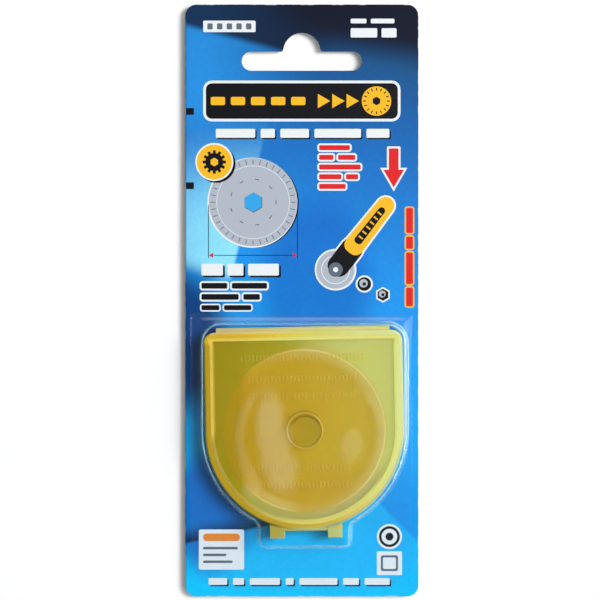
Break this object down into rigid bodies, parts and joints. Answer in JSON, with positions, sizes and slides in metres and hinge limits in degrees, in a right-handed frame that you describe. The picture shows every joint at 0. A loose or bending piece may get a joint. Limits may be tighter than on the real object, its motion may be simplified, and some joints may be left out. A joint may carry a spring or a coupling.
{
  "type": "carded rotary cutter blade pack",
  "caption": "Round rotary cutter blade shut in a translucent hinged case, held under a clear blister on a printed hang card.",
  "frame": {"origin": "middle of the card's back face, on which the pack lies", "axes": "+Y towards the hang hole, +X to the right of the printed face, +Z out of the printed face"},
  "size_m": [0.065, 0.165, 0.0063],
  "materials": {
    "card": "gloss printed board",
    "clear_sheet": "clear thermoformed sheet",
    "yellow_case": "translucent moulding",
    "steel": "ground tool steel"
  },
  "bodies": {
    "root": {"backing_card": "card", "blister": "clear_sheet", "blade_case": "yellow_case", "blade": "steel"}
  },
  "joints": []
}
